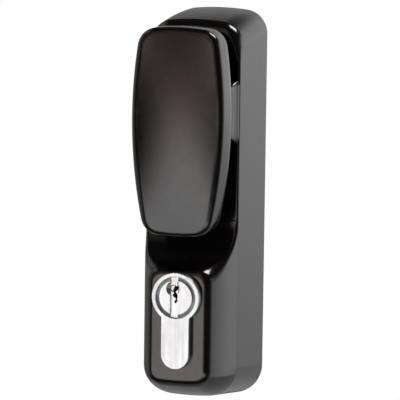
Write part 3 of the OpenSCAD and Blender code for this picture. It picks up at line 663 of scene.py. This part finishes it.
class LOCK_OT_knob(bpy.types.Operator):
    """Paddle knob with a domed face, rounded edges and a turned shank."""

    bl_idname = "knob_lock.knob"
    bl_label = "Knob"

    def execute(self, context):
        sizes = context.scene.lock_knob
        axis, edge = sizes.axis_y, sizes.edge_r
        low, high, corner = axis - sizes.below, axis + sizes.above, sizes.corner_r
        wide_y, end_r = axis + sizes.wide_y, sizes.end_r
        outline = Outline(sizes.half_w, wide_y, sizes.side_r, low, high, end_r, corner, corner)
        across_steps, corner_steps, row_step, arch_reach = 40, 12, 0.9, 30.0
        columns = np.linspace(-1.0, 1.0, across_steps + 1)
        low_row, high_row = axis - 40.0, axis + 30.0
        heights = stepped((low_row, high_row, row_step))
        flat = outline.rows(edge, columns, corner_steps, heights, corner_steps, arch_reach)
        mid = axis + (sizes.above - sizes.below) / 2
        half_h = (sizes.above + sizes.below) / 2 - edge
        x, y = flat[..., 0], flat[..., 1]
        bow = (1.0 - (x / (sizes.half_w - edge)) ** 2) * (1.0 - ((y - mid) / half_h) ** 2)
        depth = sizes.rim_out + sizes.dome * np.clip(bow, 0.0, 1.0)
        paddle = sheet("knob_paddle", np.concatenate([flat, depth[..., None]], axis=-1))

        def ring(start, stop, out):
            """Move that takes the edge from one inset to another, at a depth."""

            def move(x, y, o):
                return *outline.carried_out(x, y, start - stop), np.full(len(x), out)

            return move

        edge_steps = 8
        turns = np.linspace(0.0, math.pi / 2, edge_steps + 1)
        insets = [edge * (1.0 - math.sin(turn)) for turn in turns]
        outs = [sizes.rim_out - edge * (1.0 - math.cos(turn)) for turn in turns]
        moves = [ring(insets[i], insets[i + 1], outs[i + 1]) for i in range(edge_steps)]
        belt_out, back_edge, back_turn, back = 40.0, 1.0, 0.3, sizes.back_out
        moves += [ring(0.0, 0.0, out) for out in (belt_out, back + back_edge)]
        moves += [ring(0.0, back_turn, back + back_turn), ring(back_turn, back_edge, back)]
        carry_edge(paddle, moves)
        fill_edge(paddle)
        close(paddle)
        r, end = sizes.shank_r, sizes.shank_end
        chamfer, groove, groove_low, groove_high = 0.5, 1.0, 18.15, 19.35
        shank = [(0.0, end), (r - chamfer, end), (r, end + chamfer), (r, groove_low)]
        shank += [(r - groove, groove_low), (r - groove, groove_high), (r, groove_high)]
        fillet, fillet_steps, sunk = 2.5, 8, 0.3
        shank += turn_points(r + fillet, back - fillet, fillet, 180, 90, fillet_steps)
        shank += [(r + fillet, back + sunk), (0.0, back + sunk)]
        tenon, tenon_end, tenon_sunk = 4.5, 13.9, 0.2
        tenon_high = (tenon, axis + tenon, end + tenon_sunk)
        square = block("tenon", (-tenon, axis - tenon, tenon_end), tenon_high)
        soften(square, width=0.3)
        join(paddle, spun("shank", shank, axis), square)
        finish(paddle, "knob_set", "paint", ["knob"])
        return {"FINISHED"}


# Corners of the crooked keyway, across and up from the plug's axis
KEYWAY = (
    (0.35, 5.4), (0.97, 5.4), (1.1, 3.0), (-0.2, 1.95), (0.7, 0.75), (0.4, -0.45), (0.7, -1.15),
    (-0.25, -2.15), (-0.65, -1.55), (0.0, -0.45), (-1.3, 0.45), (-0.75, 1.65), (-1.2, 2.45),
    (-0.5, 4.0), (0.45, 3.8),
)


class LOCK_OT_cylinder(bpy.types.Operator):
    """Key cylinder: the Euro-profile case, and the plug with its chamfer, groove, dimple and keyway."""

    bl_idname = "knob_lock.cylinder"
    bl_label = "Key cylinder"

    def execute(self, context):
        sizes = context.scene.lock_cylinder
        round_steps, past = 96, 1.0
        self.case(sizes, round_steps, past)
        self.plug(sizes, round_steps, past)
        return {"FINISHED"}

    def case(self, sizes, round_steps, past):
        """Case with the bore for the plug, and the web behind it that the cross screw goes into."""
        back, front, half = sizes.back_out, sizes.front_out, sizes.lobe_half
        lobe_y = sizes.axis_y + sizes.profile_r - sizes.height + half
        run_fit, web_drop, web_end, web_steps = 0.05, 0.5, 3.7, 32
        bore = sizes.plug_r + run_fit
        case = prism("cylinder_case", euro_points(0.0), back, front)
        hole = [(0.0, back - past), (bore, back - past), (bore, front + past), (0.0, front + past)]
        cut(case, spun("plug_bore", hole, sizes.axis_y, round_steps))
        web_top = lobe_y + half - web_drop
        web = [(half, web_top), (-half, web_top)] + turn_points(0.0, lobe_y, half, 180, 360, web_steps)
        join(case, prism("cylinder_web", web, web_end, back))
        soften(case, width=0.22, segments=3)
        finish(case, "housing_set", "nickel", ["cylinder_body"])

    def plug(self, sizes, round_steps, past):
        """Plug with its face just inside the case's, and the flatted tail that carries the cam."""
        axis, r, back, chamfer = sizes.axis_y, sizes.plug_r, sizes.back_out, sizes.plug_chamfer
        face_in, chamfer_deep = 0.2, 0.8
        face = sizes.front_out - face_in
        profile = [(0.0, back), (r, back), (r, face - chamfer_deep), (r - chamfer, face), (0.0, face)]
        plug = spun("cylinder_plug_face", profile, axis, round_steps)
        left, right, reach, deep = -1.9, 0.8, 8.0, 0.75
        groove = ((left, axis - reach, face - deep), (right, axis + reach, face + past))
        dimple_x, dimple_y, bottom_r, top_r, deep, proud = -0.95, 3.0, 0.9, 2.6, 1.0, 0.1
        dimple = [(0.0, face - deep), (bottom_r, face - deep), (top_r, face + proud), (0.0, face + proud)]
        keyway, keyway_end = [(x, axis + y) for x, y in KEYWAY], 20.0
        cut(
            plug,
            block("groove", *groove),
            spun("dimple", dimple, axis + dimple_y, steps=48, x=dimple_x),
            prism("keyway", keyway, keyway_end, face + past),
        )
        flat_x, flat_y, tail_r, tail_end, tail_steps = 3.2, 2.4, 4.0, 2.3, 10
        tail = [(flat_x, axis - flat_y), (flat_x, axis + flat_y)]
        tail += turn_points(0.0, axis, tail_r, 40, 140, tail_steps)
        tail += [(-flat_x, axis + flat_y), (-flat_x, axis - flat_y)]
        tail += turn_points(0.0, axis, tail_r, 220, 320, tail_steps)
        join(plug, prism("tail", tail, tail_end, back))
        finish(plug, "plug_set", "nickel", ["cylinder_plug"])


def dress(body, metal, edge, *nodes):
    """Copies CAD nodes of one body, with clean flats and broken edges or, at edge 0, rounded as wire."""
    flat = math.radians(1.0)
    for node in nodes:
        source = frame["nodes"][node]
        obj = source.copy()
        obj.data = source.data.copy()
        obj.name = f"{node}_finished"
        del obj["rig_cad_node"]
        obj.parent = None
        bpy.context.scene.collection.objects.link(obj)
        edit(obj)
        bpy.ops.mesh.remove_doubles(threshold=MERGE)
        if edge:
            bpy.ops.mesh.dissolve_limited(angle_limit=flat)
        bpy.ops.object.mode_set(mode="OBJECT")
        if edge:
            soften(obj, edge)
        else:
            apply(obj, "SUBSURF", levels=1, render_levels=1)
        finish(obj, body, metal, [node])


class LOCK_OT_plates(bpy.types.Operator):
    """Pressed and machined plates: back plate, slide, slide guide, driver disc and cam."""

    bl_idname = "knob_lock.plates"
    bl_label = "Plates"

    def execute(self, context):
        edge = 0.2
        dress("housing_set", "zinc", edge, "back_plate", "slide_guide")
        dress("slide_set", "zinc", edge, "clutch_slide")
        dress("knob_set", "zinc", edge, "driver_disc")
        dress("plug_set", "steel", edge, "cylinder_cam")
        return {"FINISHED"}


class LOCK_OT_screws(bpy.types.Operator):
    """Screws of the back plate, the slide guide, the driver disc and the cylinder."""

    bl_idname = "knob_lock.screws"
    bl_label = "Screws"

    def execute(self, context):
        small_edge, large_edge = 0.12, 0.15
        dress("housing_set", "steel", small_edge, "back_plate_screws", "guide_screws")
        dress("knob_set", "steel", large_edge, "driver_screw")
        dress("housing_set", "steel", large_edge, "cylinder_screw")
        return {"FINISHED"}


class LOCK_OT_turned(bpy.types.Operator):
    """Turned pieces: bush, washer, follower, pegs, anchors and retaining rings."""

    bl_idname = "knob_lock.turned"
    bl_label = "Turned pieces"

    def execute(self, context):
        edge, washer_edge, follower_edge, ring_edge = 0.2, 0.15, 0.25, 0.12
        dress("housing_set", "bronze", edge, "knob_bush")
        dress("knob_set", "zinc", washer_edge, "thrust_washer")
        dress("follower_set", "zinc", follower_edge, "follower")
        dress("follower_set", "steel", edge, "spring_pegs")
        dress("housing_set", "steel", edge, "spring_anchors")
        dress("knob_set", "steel", ring_edge, "knob_circlip")
        dress("plug_set", "steel", ring_edge, "cam_circlip")
        return {"FINISHED"}


class LOCK_OT_pins(bpy.types.Operator):
    """Clutch pin, key pins, driver pins and the plugs of the pin chambers."""

    bl_idname = "knob_lock.pins"
    bl_label = "Pins"

    def execute(self, context):
        edge = 0.15
        dress("clutch_pin_set", "brass", edge, "clutch_pin")
        dress("plug_set", "brass", edge, "key_pins")
        dress("housing_set", "brass", edge, "driver_pins", "chamber_plugs")
        return {"FINISHED"}


class LOCK_OT_springs(bpy.types.Operator):
    """Coiled springs of the follower, the clutch pin and the pin chambers."""

    bl_idname = "knob_lock.springs"
    bl_label = "Springs"

    def execute(self, context):
        no_edge = 0.0
        dress("housing_set", "wire", no_edge, "return_spring")
        dress("follower_set", "wire", no_edge, "clutch_pin_spring")
        dress("housing_set", "wire", no_edge, "pin_springs")
        return {"FINISHED"}


def add_node(tree, kind, inputs, **values):
    """New node with its own values and its inputs, each a plain value or the output of another node."""
    node = tree.nodes.new(kind)
    for key, value in values.items():
        setattr(node, key, value)
    for key, value in inputs.items():
        if isinstance(value, bpy.types.NodeSocket):
            tree.links.new(value, node.inputs[key])
        else:
            node.inputs[key].default_value = value
    return node


def add_span(tree, source, low, high, first, last, **values):
    """Output that goes from first, where source is low, to last, where it is high."""
    inputs = {"Value": source, "From Min": low, "From Max": high, "To Min": first, "To Max": last}
    return add_node(tree, "ShaderNodeMapRange", inputs, **values).outputs["Result"]


class Nodes:
    """Node material on Object coordinates, built up step by step."""

    # Middle part of a noise's values, over which a colour or a roughness changes
    noise_low, noise_high = 0.3, 0.7

    def __init__(self, name, metallic):
        self.material = bpy.data.materials.new(name)
        self.material.use_nodes = True
        self.tree = self.material.node_tree
        self.shader = self.tree.nodes["Principled BSDF"]
        self.shader.inputs["Metallic"].default_value = metallic
        self.coords = self.tree.nodes.new("ShaderNodeTexCoord").outputs["Object"]

    def noise(self, scale, detail, stretch=(1.0, 1.0, 1.0)):
        """Noise with features about 1 / scale metres across, stretched along the axes."""
        mapping = add_node(self.tree, "ShaderNodeMapping", {"Scale": stretch, "Vector": self.coords})
        inputs = {"Scale": scale, "Detail": detail, "Vector": mapping.outputs["Vector"]}
        return add_node(self.tree, "ShaderNodeTexNoise", inputs).outputs["Fac"]

    def colour(self, source, first, last):
        """Base colour between two colours."""
        ramp = add_node(self.tree, "ShaderNodeValToRGB", {"Fac": source})
        ends = ((self.noise_low, first), (self.noise_high, last))
        for element, (position, colour) in zip(ramp.color_ramp.elements, ends):
            element.position = position
            element.color = (*colour, 1.0)
        self.tree.links.new(ramp.outputs["Color"], self.shader.inputs["Base Color"])

    def roughness(self, source, low, high):
        """Roughness between two values."""
        rough = add_span(self.tree, source, self.noise_low, self.noise_high, low, high)
        self.tree.links.new(rough, self.shader.inputs["Roughness"])

    def bump(self, source, strength, height):
        """Fine relief, with its height in millimetres."""
        inputs = {"Strength": strength, "Distance": height * MM, "Height": source}
        relief = add_node(self.tree, "ShaderNodeBump", inputs)
        self.tree.links.new(relief.outputs["Normal"], self.shader.inputs["Normal"])


def make_finish(key, name, shades, mottle, roughness, wear, relief, grain, metallic=1.0):
    """Finish with noises for its two shades (mottle), its roughness (wear) and its relief (grain)."""
    colour = getattr(settings().lock_finishes, key)
    dark, light = (tuple(min(1.0, channel * amount) for channel in colour) for amount in shades)
    nodes = Nodes(name, metallic)
    nodes.colour(nodes.noise(*mottle), dark, light)
    nodes.roughness(nodes.noise(*wear), *roughness)
    nodes.bump(nodes.noise(*grain), *relief)
    FINISH[key] = nodes.material
    return nodes


class LOCK_OT_finishes(bpy.types.Operator):
    """Makes the finishes: paint, nickel, zinc, blacked steel, spring wire, brass and bronze."""

    bl_idname = "knob_lock.finishes"
    bl_label = "Finishes"

    def execute(self, context):
        gloss_ior = 1.6
        paint = make_finish(
            "paint", "bronze_paint", shades=(0.85, 1.15), mottle=(150.0, 4.0), metallic=0.0,
            roughness=(0.12, 0.17), wear=(400.0, 3.0), relief=(0.06, 0.02), grain=(900.0, 1.0),
        )
        paint.shader.inputs["IOR"].default_value = gloss_ior
        upright, finer, around = (1.0, 1.0, 0.05), (1.0, 1.0, 0.04), (1.0, 0.05, 1.0)
        make_finish(
            "nickel", "satin_nickel", shades=(0.95, 1.05), mottle=(300.0, 3.0), roughness=(0.30, 0.40),
            wear=(900.0, 3.0, upright), relief=(0.05, 0.005), grain=(5000.0, 2.0, finer),
        )
        make_finish(
            "zinc", "zinc_plate", shades=(0.85, 1.12), mottle=(220.0, 5.0),
            roughness=(0.28, 0.46), wear=(600.0, 4.0), relief=(0.08, 0.01), grain=(2500.0, 2.0),
        )
        make_finish(
            "steel", "blacked_steel", shades=(0.75, 1.3), mottle=(500.0, 4.0),
            roughness=(0.3, 0.5), wear=(900.0, 3.0), relief=(0.08, 0.01), grain=(3000.0, 2.0),
        )
        make_finish(
            "wire", "spring_wire", shades=(0.85, 1.15), mottle=(900.0, 3.0),
            roughness=(0.25, 0.4), wear=(1500.0, 3.0), relief=(0.06, 0.008), grain=(4000.0, 2.0),
        )
        make_finish(
            "brass", "turned_brass", shades=(0.9, 1.1), mottle=(600.0, 3.0), roughness=(0.2, 0.34),
            wear=(1200.0, 3.0, around), relief=(0.05, 0.006), grain=(5000.0, 2.0, upright),
        )
        make_finish(
            "bronze", "bearing_bronze", shades=(0.75, 1.1), mottle=(1200.0, 5.0),
            roughness=(0.42, 0.6), wear=(1500.0, 4.0), relief=(0.15, 0.015), grain=(3500.0, 3.0),
        )
        return {"FINISHED"}


class LOCK_OT_stage(bpy.types.Operator):
    """Camera, white studio, the pale floor below the lock and one lamp above it."""

    bl_idname = "knob_lock.stage"
    bl_label = "Stage"

    def execute(self, context):
        scene = context.scene
        scene.view_settings.view_transform = "Standard"
        self.camera(scene)
        self.studio(scene)
        self.floor()
        self.lamp(scene)
        return {"FINISHED"}

    def lamp(self, scene):
        """Area lamp above the lock, facing it, with the brightness of its surface as radiance."""
        direction, distance = Vector((0.42, 0.20, 0.88)), 0.8
        width, height, radiance = 0.32, 0.34, 13.0
        data = bpy.data.lights.new("top_lamp", "AREA")
        data.shape = "RECTANGLE"
        data.size, data.size_y = width, height
        data.energy = radiance * math.pi * width * height
        obj = bpy.data.objects.new("top_lamp", data)
        scene.collection.objects.link(obj)
        obj.location = direction.normalized() * distance
        obj.rotation_mode = "QUATERNION"
        obj.rotation_quaternion = (-obj.location).to_track_quat("-Z", "Y")
        obj.visible_camera = False

    def camera(self, scene):
        """Camera on the photograph's line of sight."""
        turn, lift, roll = (math.radians(angle) for angle in (18.98, 7.215, 0.802))
        aim, distance = Vector((1.415, -25.0, 3.012)) * MM, 1.6
        turned = Matrix.Rotation(turn, 4, "Z") @ Matrix.Rotation(math.pi / 2 - lift, 4, "X")
        turned = turned @ Matrix.Rotation(roll, 4, "Z")
        data = bpy.data.cameras.new("photo_camera")
        data.lens = 422.9
        data.sensor_width = 36.0
        obj = bpy.data.objects.new("photo_camera", data)
        scene.collection.objects.link(obj)
        back = Matrix.Translation((0.0, 0.0, distance))
        obj.matrix_world = Matrix.Translation(aim) @ turned @ back
        scene.camera = obj

    def studio(self, scene):
        """White to the camera; to the lock, white behind it, paler to its right, and dim all round."""
        world = bpy.data.worlds.new("studio")
        world.use_nodes = True
        scene.world = world
        tree = world.node_tree
        tree.nodes.clear()
        view = tree.nodes.new("ShaderNodeTexCoord").outputs["Generated"]

        def along(*direction):
            """How far a direction of view points along another one."""
            inputs = {0: view, 1: direction}
            node = add_node(tree, "ShaderNodeVectorMath", inputs, operation="DOT_PRODUCT")
            return node.outputs["Value"]

        def span(*values):
            """Smooth change over a range of a direction: its two ends, then the value at each."""
            return add_span(tree, *values, interpolation_type="SMOOTHSTEP")

        def combined(kind, a, b):
            """Sum or product of two values."""
            return add_node(tree, "ShaderNodeMath", {0: a, 1: b}, operation=kind).outputs["Value"]

        def product(first, *others):
            """Product of several values."""
            for other in others:
                first = combined("MULTIPLY", first, other)
            return first

        across, away, up = along(1.0, 0.0, 0.0), along(0.0, 1.0, 0.0), along(0.0, 0.0, 1.0)
        # White walls behind the lock and to its right, dark under the roof
        roof = span(up, 0.25, 0.56, 1.0, 0.0)
        behind = product(span(away, 0.05, 0.50, 0.0, 1.0), span(across, -0.45, 0.25, 0.21, 1.0), roof)
        behind = product(behind, span(up, -0.20, -0.05, 0.42, 1.0))
        beside = product(span(across, 0.42, 0.86, 0.0, 1.15), span(away, -0.45, 0.50, 0.02, 1.0), roof)
        # Slanted card in front, brightest low down, for the dark paint to mirror
        left_edge, right_edge = along(1.0, 0.0, -0.8), along(1.0, 0.0, 2.4)
        card = product(span(away, -0.85, -0.50, 1.0, 0.0), span(left_edge, -0.58, -0.14, 0.0, 1.0))
        card = product(card, span(right_edge, -0.60, -0.10, 1.0, 0.0), span(up, -0.22, 0.14, 2.75, 0.28))
        card = product(card, span(up, -0.62, -0.36, 0.08, 1.0), span(up, -0.36, -0.12, 0.70, 1.0))
        # Grey room above the card, and two pale patches on the left
        room = product(span(away, -0.85, -0.50, 1.0, 0.0), span(across, -0.60, 0.10, 0.5, 1.0))
        room = product(room, span(up, -0.10, 0.05, 0.0, 0.5), span(across, 0.06, 0.22, 1.0, 0.0))
        left = product(span(across, -0.95, -0.72, 0.45, 0.0), span(up, 0.40, 0.70, 1.0, 0.0))
        corner = product(span(across, -0.80, -0.50, 0.7, 0.0), span(up, 0.40, 0.65, 0.0, 1.0))
        dim = 0.03
        glow = combined("ADD", combined("ADD", behind, beside), combined("ADD", card, dim))
        glow = combined("ADD", glow, combined("ADD", room, left))
        glow = combined("ADD", glow, corner)
        warmth = product(span(away, -0.75, -0.45, 1.0, 0.0), span(up, -0.22, -0.04, 0.0, 1.0))
        white, warm = (1.0, 1.0, 1.0, 1.0), (1.0, 0.75, 0.68, 1.0)
        tint = add_node(tree, "ShaderNodeMixRGB", {"Fac": warmth, "Color1": white, "Color2": warm})
        inputs = {"Strength": glow, "Color": tint.outputs["Color"]}
        around = add_node(tree, "ShaderNodeBackground", inputs).outputs["Background"]
        plain = add_node(tree, "ShaderNodeBackground", {"Color": white}).outputs["Background"]
        seen = tree.nodes.new("ShaderNodeLightPath").outputs["Is Camera Ray"]
        mix = add_node(tree, "ShaderNodeMixShader", {"Fac": seen, 1: around, 2: plain})
        add_node(tree, "ShaderNodeOutputWorld", {"Surface": mix.outputs["Shader"]})

    def floor(self):
        """Pale round floor below the lock."""
        middle, dark, light = (0.0, 0.20, -0.25), (0.84, 0.84, 0.84), (0.88, 0.88, 0.88)
        clear_selection()
        bpy.ops.mesh.primitive_circle_add(vertices=96, radius=0.32, fill_type="NGON", location=middle)
        obj = bpy.context.object
        obj.name = "floor"
        floor = Nodes("floor_paper", metallic=0.0)
        floor.colour(floor.noise(scale=40.0, detail=3.0), dark, light)
        floor.roughness(floor.noise(scale=120.0, detail=2.0), low=0.7, high=0.8)
        obj.data.materials.append(floor.material)


class LOCK_PT_panel(bpy.types.Panel):
    """Sizes, finishes and steps of the knob lock."""

    bl_label = "Knob lock"
    bl_idname = "LOCK_PT_panel"
    bl_space_type = "VIEW_3D"
    bl_region_type = "UI"
    bl_category = "Knob lock"

    def draw(self, context):
        for title, group, kind in GROUPS:
            box = self.layout.box()
            box.label(text=title)
            for key in kind.__annotations__:
                box.prop(getattr(context.scene, group), key)
        for step in STEPS:
            self.layout.operator(step.bl_idname)


GROUPS = (
    ("Housing", "lock_housing", HousingSizes),
    ("Knob", "lock_knob", KnobSizes),
    ("Key cylinder", "lock_cylinder", CylinderSizes),
    ("Finishes", "lock_finishes", Finishes),
)
STEPS = (
    LOCK_OT_finishes,
    LOCK_OT_stage,
    LOCK_OT_housing,
    LOCK_OT_casting,
    LOCK_OT_knob,
    LOCK_OT_cylinder,
    LOCK_OT_plates,
    LOCK_OT_screws,
    LOCK_OT_turned,
    LOCK_OT_pins,
    LOCK_OT_springs,
)
CLASSES = (*[kind for _, _, kind in GROUPS], *STEPS, LOCK_PT_panel)


def register():
    for kind in CLASSES:
        bpy.utils.register_class(kind)
    for _, group, kind in GROUPS:
        setattr(bpy.types.Scene, group, bpy.props.PointerProperty(type=kind))


def unregister():
    for _, group, _ in GROUPS:
        delattr(bpy.types.Scene, group)
    for kind in reversed(CLASSES):
        bpy.utils.unregister_class(kind)


def main():
    register()
    for step in STEPS:
        area, name = step.bl_idname.split(".")
        getattr(getattr(bpy.ops, area), name)()


if __name__ == "__main__":
    main()
